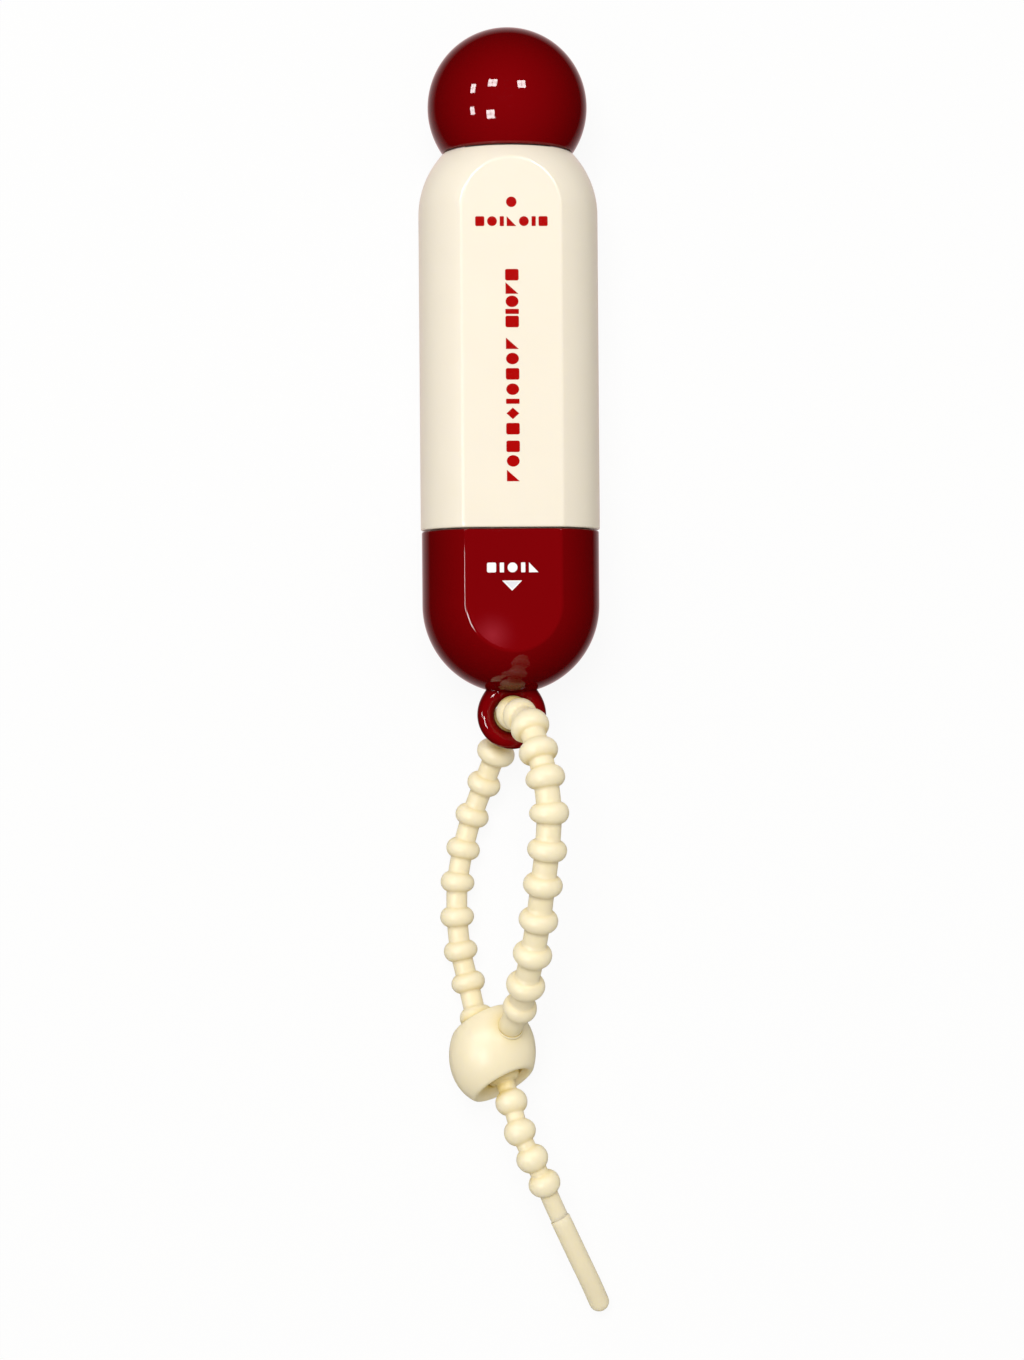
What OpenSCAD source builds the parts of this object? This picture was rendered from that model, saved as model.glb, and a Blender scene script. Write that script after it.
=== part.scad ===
// Two-ended stain remover pen with a beaded silicone wrist strap, lying on its back flat.
// Every pen piece is drawn along +Z from the low point of the brush cap's dome, then laid along +Y.
// The ball cap is at +Y, the strap runs out towards -Y, and Z = 0 is the table.

/* [Barrel] */
// Diameter of the barrel across its round sides
barrel_d = 27; // [26:0.1:28]
// Thickness of the pen between its front and back flats
flat_t = 22.6; // [21.6:0.1:23.2]
// Length of the barrel from the seam to its top rim
barrel_h = 56.6; // [54:0.2:66]
// Diameter of the top rim that the ball cap sits on
rim_d = 19.4; // [19:0.1:20.4]
// Wall of the barrel, the brush cap and the ball cap
wall_t = 1.5; // [1.2:0.05:1.6]
// Radius of the rounded edge between a flat and the round sides
edge_r = 1; // [0.6:0.1:1.4]
// Depth of the thick ring inside the top rim
rim_boss_h = 5; // [4:0.2:6]

/* [Ball cap] */
// Diameter of the ball cap
ball_d = 24; // [23:0.1:24.8]
// Wall of the sealing liner inside the ball
liner_t = 0.9; // [0.7:0.05:1]

/* [Brush cap] */
// How much slimmer the brush cap is than the barrel on each round side
cap_step = 0.15; // [0.05:0.05:0.3]
// Length of the brush cap from its low point to the seam
cap_h = 24.4; // [23.4:0.2:26]
// Diameter of the hole in the strap ring
ring_hole_d = 5.2; // [5:0.1:6.4]
// Thickness of the strap ring's wire
ring_wire_d = 2.6; // [2.2:0.1:2.8]
// How far the strap ring's top is sunk into the dome
ring_sink = 2; // [1.2:0.1:2.2]

/* [Clearances] */
// Gap at the seams where a cap meets the barrel
seam_gap = 0.2; // [0.15:0.05:0.3]
// Gap round a piece that is pushed in and stays
seat_gap = 0.05; // [0.03:0.01:0.08]
// Gap round a piece that slides off
slide_gap = 0.1; // [0.06:0.01:0.15]

/* [Remover end] */
// Diameter of the neck that the liner seals on
neck_d = 13; // [12.4:0.1:13.2]
// Height of the neck's straight side above the rim
neck_h = 5.2; // [4.6:0.1:5.6]
// Diameter of the felt nib
nib_d = 5; // [4.4:0.1:5.4]
// How far the felt nib stands out above the rim
nib_out = 10.4; // [9.8:0.1:10.8]
// Travel of the nib when it is pressed on the cloth
nib_travel = 1.5; // [1:0.1:1.8]
// Diameter of the valve stem
stem_d = 2.4; // [2:0.1:2.8]
// Diameter of the spring's wire
spring_wire_d = 0.6; // [0.5:0.02:0.64]
// Turns of the valve spring
spring_turns = 4; // [3:1:5]

/* [Liquid vial] */
// Outside diameter of the vial
vial_d = 18.4; // [17.8:0.1:18.8]
// Wall of the vial
vial_t = 1.2; // [1:0.05:1.3]

/* [Brush] */
// Length of the collar's part inside the brush cap
collar_out = 7; // [6:0.2:8]
// Length of the collar's part inside the barrel
collar_in = 6; // [5:0.2:8]
// Diameter of the tuft plate
plate_d = 15.6; // [15:0.1:16.2]
// Thickness of the tuft plate
plate_t = 2.4; // [2:0.1:3]
// Free length of the bristles below the tuft plate
bristle_out = 7; // [7:0.1:8]
// Diameter of one tuft
tuft_d = 1.1; // [0.9:0.05:1.3]
// Spacing of the rings of tufts
tuft_pitch = 2; // [1.8:0.05:2.1]
// Number of rings of tufts round the middle one
tuft_rings = 3; // [2:1:3]

/* [Strap] */
// Bead diameter on the thick run over the ring
thick_bead_d = 5.9; // [5.4:0.1:6.2]
// Neck diameter on the thick run
thick_neck_d = 3.7; // [3.2:0.1:4.2]
// Bead diameter on the thin run through the lock bead
thin_bead_d = 5.2; // [4.6:0.1:5.4]
// Neck diameter on the thin run
thin_neck_d = 3.2; // [2.6:0.1:3.4]
// Bead diameter on the tail
tail_bead_d = 4.9; // [4.4:0.1:5.2]
// Neck diameter on the tail, and of the slim part of the pull end
tail_neck_d = 2.8; // [2.4:0.1:3]
// Diameter of the pull end
pull_d = 3.1; // [2.8:0.1:3.6]
// Length of a bead on the two long runs
bead_len = 3.1; // [2.6:0.1:3.4]
// Length of a bead on the tail
tail_bead_len = 3.9; // [3.2:0.1:4]

/* [Lock bead] */
// Width of the lock bead
lock_w = 13.2; // [12.6:0.1:13.2]
// Length of the lock bead's full oval
lock_l = 15.2; // [14.4:0.1:15.6]
// Diameter of the hole through the lock bead
lock_hole_d = 5.8; // [5.6:0.1:6.2]
// Distance from the middle of the lock bead to the flat face where the tail comes out
lock_face = 5.1; // [4.7:0.1:5.3]
// Distance from the middle of the lock bead to the flat face where the thin run goes in
lock_back = 5.4; // [5:0.1:5.8]

/* [Hidden] */
$fn = 96;

barrel_r = barrel_d / 2;
flat_r = flat_t / 2;
cap_r = barrel_r - cap_step;
ball_r = ball_d / 2;
rim_r = rim_d / 2;
neck_r = neck_d / 2;
nib_r = nib_d / 2;
vial_r = vial_d / 2;
stem_r = stem_d / 2;
ring_wire_r = ring_wire_d / 2;
ring_r = ring_hole_d / 2 + ring_wire_r;

// Heights along the pen
seam_z = cap_h;
barrel_z = seam_z + seam_gap;
rim_z = barrel_z + barrel_h;
shoulder_z = rim_z - sqrt(barrel_r * barrel_r - rim_r * rim_r);
ball_z = rim_z + sqrt(ball_r * ball_r - rim_r * rim_r);
ring_z = ring_sink - ring_r - ring_wire_r;
low_z = ring_z - ring_r - ring_wire_r;
high_z = ball_z + ball_r;

// Placing of the pen on the table
axis_h = max(ball_r, flat_r);
mid_z = (low_z + high_z) / 2;
ring_y = ring_z - mid_z;

// Remover end, worked out from the rim downwards
rim_bore_r = rim_r - 1.6;
holder_flange_r = rim_r - 0.4;
holder_flange_t = 1.5;
boss_low_z = rim_z - rim_boss_h;
holder_low_z = boss_low_z - seat_gap - holder_flange_t;
chamber_r = 4.2;
neck_top_z = rim_z + neck_h;
neck_tip_z = neck_top_z + 1.8;
head_r = 3.5;
head_t = 1.2;
head_top_z = rim_z - 0.4;
housing_top_z = holder_low_z - seat_gap;
housing_t = 1.5;
housing_low_z = housing_top_z - housing_t;
housing_tube_r = chamber_r - seat_gap;
housing_tube_t = 0.45;
housing_tube_z = head_top_z - head_t - nib_travel - 0.3;
valve_disc_r = 2.6;
valve_disc_t = 1.2;
gasket_t = 0.8;
gasket_low_z = housing_low_z - seat_gap - gasket_t;
vial_top_z = gasket_low_z - seat_gap;

// Valve spring
spring_r = 2.6;
spring_low_z = housing_top_z + spring_wire_d / 2 + seat_gap;
spring_high_z = head_top_z - head_t - spring_wire_d / 2 - seat_gap;
spring_rise = (spring_high_z - spring_low_z) / spring_turns;
spring_steps = 8;
spring_sides = 6;

// Brush end, worked out from the seam
collar_low_z = seam_z - collar_out;
collar_high_z = barrel_z + collar_in;
collar_floor_t = 2;
collar_wall_t = 1.6;
boss_wall_t = 1.2;
pocket_r = plate_d / 2 + seat_gap;
plate_z = collar_low_z - 3;
slice_t = 0.5;
slice_z = plate_z + plate_t;
pocket_top_z = slice_z + slice_t + seat_gap;
tip_z = plate_z - bristle_out;
tuft_r = tuft_d / 2;
vial_low_z = collar_high_z + seat_gap;

// Ball cap
ball_low_z = rim_z + seam_gap;
ball_in_r = ball_r - wall_t * 0.8;
liner_in_r = neck_r + slide_gap;
liner_r = liner_in_r + liner_t;
liner_low_z = ball_low_z + 0.1;
liner_top_r = 5.2;
liner_top_z = ball_z + sqrt(ball_in_r * ball_in_r - liner_top_r * liner_top_r) - 0.15;
liner_knee_z = ball_z + sqrt(ball_in_r * ball_in_r - liner_r * liner_r) - 1;
liner_lip_t = 1;
liner_lip_r = sqrt(ball_in_r * ball_in_r - pow(ball_z - liner_low_z, 2)) - seat_gap;

// Strap route: across and along from the ring's middle, and height above the table
route = [
    [-0.8, -47.6, 10.8], [0.75, -43.9, 14.9], [1.5, -40.2, 18.1], [2.4, -35.4, 21.0], [3.2, -30.2, 23.2],
    [3.8, -24.9, 25.0], [4.4, -19.7, 26.2], [4.7, -14.3, 26.8], [4.2, -9.2, 26.5], [3.3, -5.3, 25.0],
    [2.2, -1.7, 22.5], [0.9, 0.0, 18.9], [0.1, 0.3, 14.7], [-0.4, -0.9, 9.0], [-2.2, -5.8, 6.3],
    [-4.0, -10.6, 4.4], [-5.8, -15.5, 3.2], [-7.2, -20.6, 2.7], [-8.1, -25.7, 2.7], [-8.2, -31.0, 2.7],
    [-7.7, -36.2, 2.7], [-6.6, -41.1, 3.0], [-5.4, -46.2, 4.15], [-3.5, -50.7, 6.2], [-1.7, -54.6, 8.0],
    [-0.4, -58.7, 9.8], [0.8, -63.0, 11.1], [2.6, -67.0, 11.4], [4.4, -70.8, 10.9], [5.3, -73.0, 10.2],
    [6.7, -76.2, 9.0], [7.2, -77.2, 8.7], [9.9, -83.1, 6.2], [11.7, -87.0, 4.2], [13.2, -90.5, 2.1]
];
last = len(route) - 1;
thick_last = 10;
thin_last = 24;
under_ring = 14;
tail_last = 28;
slim_last = 30;
lock_at = [-3.1, -51.65, 6.65];
lock_dir = [0.43, -0.81, 0.39];
lock_long_dir = [0.11, 0.994, 0];

function unit(v) = v / norm(v);
function on_table(p) = [p.x, ring_y + p.y, p.z];
function turn_to(d) = [0, acos(d.z / norm(d)), atan2(d.y, d.x)];

// Radius of the bead at a point of the route, or of the plain strand where there is no bead
function point_r(i) =
    i == 0 ? thick_neck_d / 2 :
    i == 1 ? thin_bead_d / 2 :
    i <= thick_last || i == under_ring ? thick_bead_d / 2 :
    i <= thin_last ? thin_bead_d / 2 :
    i <= tail_last ? tail_bead_d / 2 :
    i <= slim_last ? tail_neck_d / 2 : pull_d / 2;

// Radius of the strand between a point and the next
function neck_at(i) =
    i <= thick_last ? thick_neck_d / 2 :
    i < thin_last ? thin_neck_d / 2 :
    i <= slim_last ? tail_neck_d / 2 : pull_d / 2;

function half_len(i) = i > thin_last ? tail_bead_len / 2 : bead_len / 2;
function has_bead(i) = i >= 1 && i <= tail_last;

// Smooth curve through the route's points, at share t of the way from point i to the next
function tangent_at(i) = i == 0 ? route[1] - route[0] :
    i == last ? route[last] - route[last - 1] : (route[i + 1] - route[i - 1]) / 2;
function curve(i, t) =
    route[i] * (2 * pow(t, 3) - 3 * t * t + 1) + tangent_at(i) * (pow(t, 3) - 2 * t * t + t) +
    route[i + 1] * (3 * t * t - 2 * pow(t, 3)) + tangent_at(i + 1) * (pow(t, 3) - t * t);
function heading(i, t) =
    unit(route[i] * (6 * t * t - 6 * t) + tangent_at(i) * (3 * t * t - 4 * t + 1) +
    route[i + 1] * (6 * t - 6 * t * t) + tangent_at(i + 1) * (3 * t * t - 2 * t));

// A bead's bulge falls off as a round ring does, at distance s from the bead's middle
function bulge(i, s) = point_r(i) - half_len(i) + sqrt(max(0, pow(half_len(i), 2) - s * s));

// Rings of the strap: [place, heading, radius]
bead_steps = [0, 0.6, 0.97];
function span(i) = norm(route[i + 1] - route[i]);
function rings_after(i) = has_bead(i) ?
    [for (k = bead_steps) [curve(i, k * half_len(i) / span(i)), heading(i, k * half_len(i) / span(i)),
        max(neck_at(i), bulge(i, k * half_len(i)))]] :
    [[curve(i, 0), heading(i, 0), point_r(i)]];
function rings_before(i) = has_bead(i) ?
    [for (k = [bead_steps[2], bead_steps[1]]) [curve(i - 1, 1 - k * half_len(i) / span(i - 1)),
        heading(i - 1, 1 - k * half_len(i) / span(i - 1)), max(neck_at(i - 1), bulge(i, k * half_len(i)))]] :
    [];
tip_steps = [25, 50, 75];
function tip_rings() = [for (a = tip_steps)
    [route[last] + heading(last - 1, 1) * pull_d / 2 * sin(a), heading(last - 1, 1), pull_d / 2 * cos(a)]];
strap_rings = concat(
    [for (i = [0 : last]) for (g = concat(i > 0 ? rings_before(i) : [], i < last ? rings_after(i) :
        [[curve(last - 1, 1), heading(last - 1, 1), pull_d / 2]])) g],
    tip_rings());
strap_sides = 8;

// Least gap between two turns of the valve spring, measured between the rings of the drawn tube
function coil_gap(rings) = min([for (a = rings) for (b = rings)
    let (d = norm(a[0] - b[0]) - 2 * a[2]) if (abs(a[0].z - b[0].z) > 0.6 * spring_rise) d]);

// One closed tube through a list of rings, with its sides set out from the X axis
function ring_points(g, sides) =
    let (n = unit(cross(g[1], [1, 0, 0])), m = cross(g[1], n))
    [for (k = [0 : sides - 1]) g[0] + g[2] * (n * cos(360 * k / sides) + m * sin(360 * k / sides))];

module tube(rings, sides) {
    count = len(rings);
    points = [for (g = rings) for (p = ring_points(g, sides)) p];
    walls = [for (j = [0 : count - 2]) for (k = [0 : sides - 1]) let (
        a = j * sides + k, b = j * sides + (k + 1) % sides)
        for (f = [[a, b, b + sides], [a, b + sides, a + sides]]) f];
    foot = [for (k = [1 : sides - 2]) [0, k + 1, k]];
    top = (count - 1) * sides;
    head = [for (k = [1 : sides - 2]) [top, top + k, top + k + 1]];
    polyhedron(points = points, faces = concat(walls, foot, head));
}

// Lays a piece drawn along +Z down on the table, brush end towards -Y
module lay() {
    translate([0, -mid_z, axis_h]) rotate([-90, 0, 0]) children();
}

// Cross-section of the pen: a circle of radius r between two flats, with rounded edges of radius e
module section(r, f, e) {
    mid_x = sqrt(pow(r - e, 2) - pow(f - e, 2));
    over = 0.004;
    union() {
        intersection() {
            circle(r);
            square([2 * r + 2, 2 * (f - e)], center = true);
        }
        square([2 * mid_x, 2 * f], center = true);
        for (sx = [-1, 1], sy = [-1, 1]) translate([sx * mid_x, sy * (f - e)]) circle(e + over);
    }
}

// The same cross-section with sharp edges, for insides
module sharp_section(r, f) {
    intersection() {
        circle(r);
        square([2 * r + 2, 2 * f], center = true);
    }
}

// Round end of the pen: half a ball of the section's outline, turned about the flats' normal
module round_end(r, f) {
    rotate([90, 0, 0]) rotate_extrude(angle = 180) intersection() {
        children();
        translate([0, -f - 1]) square([r + 1, 2 * f + 2]);
    }
}

// Outside of the pen between two heights, with the round end above the top height
module outer_form(r, low, high, up) {
    side = up ? high : low;
    translate([0, 0, low]) linear_extrude(high - low) section(r, flat_r, edge_r);
    translate([0, 0, side]) rotate([0, up ? 0 : 180, 0]) round_end(r, flat_r) section(r, flat_r, edge_r);
}

module inner_form(r, low, high, up) {
    side = up ? high : low;
    in_r = r - wall_t;
    in_f = flat_r - wall_t;
    translate([0, 0, low]) linear_extrude(high - low) sharp_section(in_r, in_f);
    translate([0, 0, side]) rotate([0, up ? 0 : 180, 0]) round_end(in_r, in_f) sharp_section(in_r, in_f);
}

// A ring of rectangular section
module band(r_in, r_out, low, high) {
    translate([0, 0, low]) difference() {
        cylinder(r = r_out, h = high - low);
        translate([0, 0, -1]) cylinder(r = r_in, h = high - low + 2);
    }
}

module barrel() {
    color("#efe6d0") lay() difference() {
        intersection() {
            outer_form(barrel_r, barrel_z, shoulder_z, true);
            translate([-barrel_d, -barrel_d, 0]) cube([2 * barrel_d, 2 * barrel_d, rim_z]);
        }
        difference() {
            inner_form(barrel_r, barrel_z - 1, shoulder_z, true);
            translate([0, 0, boss_low_z]) cylinder(r = rim_r, h = barrel_r);
        }
        translate([0, 0, shoulder_z]) cylinder(r = rim_bore_r, h = barrel_r);
    }
}

module remover_cap() {
    color("#8c0a10") lay() difference() {
        translate([0, 0, ball_z]) sphere(ball_r);
        translate([0, 0, ball_z]) sphere(ball_in_r);
        translate([-ball_d, -ball_d, ball_z - 2 * ball_d]) cube([2 * ball_d, 2 * ball_d, ball_low_z - ball_z + 2 * ball_d]);
    }
}

// Sealing thimble inside the ball: it closes over the nib and grips the neck
module cap_liner() {
    in_top_z = liner_top_z - liner_t;
    color("#e9e4dc") lay() rotate_extrude() polygon([
        [liner_in_r, liner_low_z], [liner_lip_r, liner_low_z], [liner_lip_r, liner_low_z + liner_lip_t],
        [liner_r, liner_low_z + liner_lip_t], [liner_r, liner_knee_z], [liner_top_r, liner_top_z],
        [0, liner_top_z], [0, in_top_z], [liner_top_r - liner_t / 2, in_top_z], [liner_in_r, liner_knee_z]
    ]);
}

module nib_holder() {
    plug_r = rim_bore_r - seat_gap;
    bore_r = nib_r + seat_gap;
    ridge = 0.15;
    color("#f4f1ea") lay() rotate_extrude() polygon([
        [chamber_r, holder_low_z], [holder_flange_r, holder_low_z], [holder_flange_r, holder_low_z + holder_flange_t],
        [plug_r, holder_low_z + holder_flange_t], [plug_r, rim_z - seam_gap], [neck_r - ridge, rim_z - seam_gap],
        [neck_r - ridge, neck_top_z - 2], [neck_r, neck_top_z - 1.6], [neck_r, neck_top_z - 0.8],
        [neck_r - 0.6, neck_top_z], [bore_r + 1, neck_tip_z], [bore_r, neck_tip_z],
        [bore_r, head_top_z + seat_gap], [chamber_r, head_top_z + seat_gap]
    ]);
}

module nib() {
    top_z = rim_z + nib_out;
    cone_h = 2.4;
    tip_r = 1.2;
    color("#dcd6c8") lay() rotate_extrude() union() {
        translate([0, head_top_z]) square([nib_r, top_z - cone_h - head_top_z]);
        polygon([[0, top_z - cone_h], [nib_r, top_z - cone_h], [tip_r, top_z - 0.4], [0.6, top_z], [0, top_z]]);
    }
}

module valve_stem() {
    disc_z = housing_low_z - seat_gap - valve_disc_t;
    guide_h = 1.5;
    color("#f4f1ea") lay() rotate_extrude() polygon([
        [0, disc_z], [stem_r, disc_z], [valve_disc_r, disc_z + valve_disc_t / 2],
        [valve_disc_r, disc_z + valve_disc_t], [stem_r, disc_z + valve_disc_t],
        [stem_r, head_top_z - head_t - guide_h], [stem_r + 0.4, head_top_z - head_t - guide_h],
        [stem_r + 0.4, head_top_z - head_t], [head_r, head_top_z - head_t], [head_r, head_top_z], [0, head_top_z]
    ]);
}

spring_rings = [for (k = [0 : spring_turns * spring_steps]) let (a = 360 * k / spring_steps) [
    [spring_r * cos(a), spring_r * sin(a), spring_low_z + spring_rise * k / spring_steps],
    unit([-sin(a), cos(a), spring_rise / (2 * PI * spring_r)]),
    spring_wire_d / 2
]];

echo("least gap between turns of the valve spring, mm:", coil_gap(spring_rings));

// A coil's rings are set out from the pen's axis, because its heading turns past the X axis
function coil_points(g) =
    let (n = unit([g[0].x, g[0].y, 0]), m = cross(g[1], n))
    [for (k = [0 : spring_sides - 1]) g[0] + g[2] * (n * cos(360 * k / spring_sides) + m * sin(360 * k / spring_sides))];

module valve_spring() {
    count = len(spring_rings);
    points = [for (g = spring_rings) for (p = coil_points(g)) p];
    walls = [for (j = [0 : count - 2]) for (k = [0 : spring_sides - 1]) let (
        a = j * spring_sides + k, b = j * spring_sides + (k + 1) % spring_sides)
        for (f = [[a, b, b + spring_sides], [a, b + spring_sides, a + spring_sides]]) f];
    foot = [for (k = [1 : spring_sides - 2]) [0, k + 1, k]];
    top = (count - 1) * spring_sides;
    head = [for (k = [1 : spring_sides - 2]) [top, top + k, top + k + 1]];
    color("silver") lay() polyhedron(points = points, faces = concat(walls, foot, head));
}

module valve_housing() {
    stem_bore_r = stem_r + seat_gap;
    skirt_r = vial_r - vial_t - seat_gap;
    skirt_t = 1;
    skirt_h = 4;
    flange_r = vial_r;
    color("#f4f1ea") lay() rotate_extrude() polygon([
        [stem_bore_r, housing_low_z], [skirt_r - skirt_t, housing_low_z], [skirt_r - skirt_t, housing_low_z - skirt_h],
        [skirt_r, housing_low_z - skirt_h], [skirt_r, housing_low_z], [flange_r, housing_low_z],
        [flange_r, housing_top_z], [housing_tube_r, housing_top_z], [housing_tube_r, housing_tube_z],
        [housing_tube_r - housing_tube_t, housing_tube_z], [housing_tube_r - housing_tube_t, housing_top_z],
        [stem_bore_r, housing_top_z]
    ]);
}

module vial_gasket() {
    color("#5a5a5a") lay() band(vial_r - vial_t, vial_r, gasket_low_z, gasket_low_z + gasket_t);
}

module vial() {
    color("#dfeef2") lay() difference() {
        translate([0, 0, vial_low_z]) cylinder(r = vial_r, h = vial_top_z - vial_low_z);
        translate([0, 0, vial_low_z + vial_t]) cylinder(r = vial_r - vial_t, h = vial_top_z);
    }
}

// Plug that closes the barrel, carries the brush and guides the brush cap
module brush_collar() {
    boss_r = pocket_r + boss_wall_t;
    plug_r = barrel_r - wall_t - seat_gap;
    skirt_r = cap_r - wall_t - slide_gap;
    plug_f = flat_r - wall_t - seat_gap;
    skirt_f = flat_r - wall_t - slide_gap;
    color("#efe6d0") lay() difference() {
        union() {
            translate([0, 0, barrel_z]) linear_extrude(collar_high_z - barrel_z) sharp_section(plug_r, plug_f);
            translate([0, 0, collar_low_z]) linear_extrude(barrel_z - collar_low_z) sharp_section(skirt_r, skirt_f);
            translate([0, 0, plate_z]) cylinder(r = boss_r, h = collar_low_z - plate_z);
        }
        translate([0, 0, plate_z - 1]) cylinder(r = pocket_r, h = pocket_top_z - plate_z + 1);
        translate([0, 0, pocket_top_z + collar_floor_t]) cylinder(r = pocket_r, h = collar_high_z);
    }
}

// Places of the tufts: one in the middle and six more on each ring
tuft_places = concat([[0, 0]], [for (ring = [1 : tuft_rings]) for (k = [0 : 6 * ring - 1])
    let (a = 60 * k / ring) [ring * tuft_pitch * cos(a), ring * tuft_pitch * sin(a)]]);

module tuft_plate() {
    hole_r = tuft_r + seat_gap;
    color("#ffffff") lay() translate([0, 0, plate_z]) linear_extrude(plate_t) difference() {
        circle(plate_d / 2);
        for (p = tuft_places) translate(p) circle(hole_r, $fn = 24);
    }
}

module bristle_tufts() {
    color("#f7f7f2") lay() union() {
        translate([0, 0, slice_z + seat_gap / 2]) cylinder(r = plate_d / 2 - 0.4, h = slice_t);
        for (p = tuft_places) translate([p.x, p.y, tip_z]) cylinder(r = tuft_r, h = slice_z + slice_t - tip_z, $fn = 24);
    }
}

module brush_cap() {
    dome_z = cap_r;
    color("#8c0a10") lay() union() {
        difference() {
            outer_form(cap_r, dome_z, seam_z, false);
            inner_form(cap_r, dome_z, seam_z + 1, false);
        }
        translate([0, 0, ring_z]) rotate([90, 0, 0]) rotate_extrude() translate([ring_r, 0]) circle(ring_wire_r);
    }
}

module strap() {
    color("#f6ecc2") translate([0, ring_y, 0]) tube(strap_rings, strap_sides);
}

module lock_bead() {
    oval_steps = 20;
    root = route[0];
    root_dir = unit(route[1] - route[0]);
    cut = lock_l;
    color("#f6ecc2") difference() {
        translate(on_table(lock_at)) rotate(turn_to(lock_long_dir)) rotate_extrude() polygon(concat([[0, -lock_l / 2]],
            [for (k = [1 : oval_steps - 1]) let (a = 180 * k / oval_steps - 90) [lock_w / 2 * cos(a), lock_l / 2 * sin(a)]],
            [[0, lock_l / 2]]));
        translate(on_table(lock_at)) rotate(turn_to(lock_dir)) {
            translate([0, 0, -lock_l]) cylinder(r = lock_hole_d / 2, h = 2 * lock_l);
            translate([-cut / 2, -cut / 2, lock_face]) cube(cut);
            translate([-cut / 2, -cut / 2, -lock_back - cut]) cube(cut);
        }
        translate(on_table(root)) rotate(turn_to(root_dir)) cylinder(r = thick_neck_d / 2 + seat_gap, h = lock_l / 2);
    }
}

barrel();
remover_cap();
cap_liner();
nib_holder();
nib();
valve_stem();
valve_spring();
valve_housing();
vial_gasket();
vial();
brush_collar();
tuft_plate();
bristle_tufts();
brush_cap();
strap();
lock_bead();
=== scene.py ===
import math

import bmesh
import bpy
from mathutils import Matrix, Vector


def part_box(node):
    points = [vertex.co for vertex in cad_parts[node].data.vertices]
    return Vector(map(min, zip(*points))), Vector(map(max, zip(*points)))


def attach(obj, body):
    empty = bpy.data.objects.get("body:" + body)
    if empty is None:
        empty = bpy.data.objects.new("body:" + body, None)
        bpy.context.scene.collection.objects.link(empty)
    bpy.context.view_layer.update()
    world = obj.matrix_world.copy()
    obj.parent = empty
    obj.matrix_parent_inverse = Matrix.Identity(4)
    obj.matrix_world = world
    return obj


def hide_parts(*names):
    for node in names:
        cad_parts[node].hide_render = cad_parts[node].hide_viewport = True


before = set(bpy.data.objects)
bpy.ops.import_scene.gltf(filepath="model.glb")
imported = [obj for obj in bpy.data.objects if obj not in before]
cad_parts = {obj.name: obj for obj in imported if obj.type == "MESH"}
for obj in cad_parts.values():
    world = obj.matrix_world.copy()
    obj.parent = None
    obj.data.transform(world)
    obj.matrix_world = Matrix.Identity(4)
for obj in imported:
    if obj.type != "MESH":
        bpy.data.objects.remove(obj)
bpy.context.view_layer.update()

MM = 0.001

# The camera stands still half a metre above the table and looks down on the pen, which lies on its back flat.
# It is a little to the left of the pen, so the front flat shows slightly shifted to the right.

ring_hole_r = 2.6 * MM
ring_wire_r = 1.3 * MM
ring_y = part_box("brush_cap")[0].y + ring_hole_r + 2 * ring_wire_r
camera_place = Vector((-22.837 * MM, ring_y + 5.2325 * MM, 516.664 * MM))
camera_lean = math.radians(2.6)
camera_roll = math.radians(0.44)
focal_px = 3350
image_rows = 1360
sensor_mm = 24

look = Vector((math.sin(camera_lean), 0, -math.cos(camera_lean)))
level = Vector((math.cos(camera_lean), 0, math.sin(camera_lean)))
along = Vector((0, 1, 0))
image_right = math.cos(camera_roll) * level - math.sin(camera_roll) * along
image_up = math.sin(camera_roll) * level + math.cos(camera_roll) * along

camera_data = bpy.data.cameras.new("camera")
camera_data.sensor_fit = "VERTICAL"
camera_data.sensor_height = sensor_mm
camera_data.lens = sensor_mm * focal_px / image_rows
camera_data.clip_start = 0.01
camera = bpy.data.objects.new("camera", camera_data)
turn = Matrix((image_right, image_up, -look)).transposed()
camera.matrix_world = Matrix.Translation(camera_place) @ turn.to_4x4()
bpy.context.scene.collection.objects.link(camera)
bpy.context.scene.camera = camera
bpy.context.scene.view_settings.view_transform = "Standard"

# The wrist strap is one moulded cord of cream silicone: ring-shaped beads on a thick run over the strap ring,
# the same on a thinner run under it, rounder beads on the tail, and a smooth pull end. It is swept along its
# resting line.

route = [
    (-0.8, -47.6, 10.8), (0.75, -43.9, 14.9), (1.5, -40.2, 18.1), (2.4, -35.4, 21.0), (3.2, -30.2, 23.2),
    (3.8, -24.9, 25.0), (4.4, -19.7, 26.2), (4.7, -14.3, 26.8), (4.2, -9.2, 26.5), (3.3, -5.3, 25.0),
    (2.2, -1.7, 22.5), (0.9, 0.0, 18.9), (0.1, 0.3, 14.7), (-0.4, -0.9, 9.0), (-2.2, -5.8, 6.3),
    (-4.0, -10.6, 4.4), (-5.8, -15.5, 3.2), (-7.2, -20.6, 2.7), (-8.1, -25.7, 2.7), (-8.2, -31.0, 2.7),
    (-7.7, -36.2, 2.7), (-6.6, -41.1, 3.0), (-5.4, -46.2, 4.15), (-3.5, -50.7, 6.2), (-1.7, -54.6, 8.0),
    (-0.4, -58.7, 9.8), (0.8, -63.0, 11.1), (2.6, -67.0, 11.4), (4.4, -70.8, 10.9), (5.3, -73.0, 10.2),
    (6.7, -76.2, 9.0), (7.2, -77.2, 8.7), (9.9, -83.1, 6.2), (11.7, -87.0, 4.2), (13.2, -90.5, 2.1),
]
route = [Vector((x * MM, ring_y + y * MM, z * MM)) for x, y, z in route]
last = len(route) - 1

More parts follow.
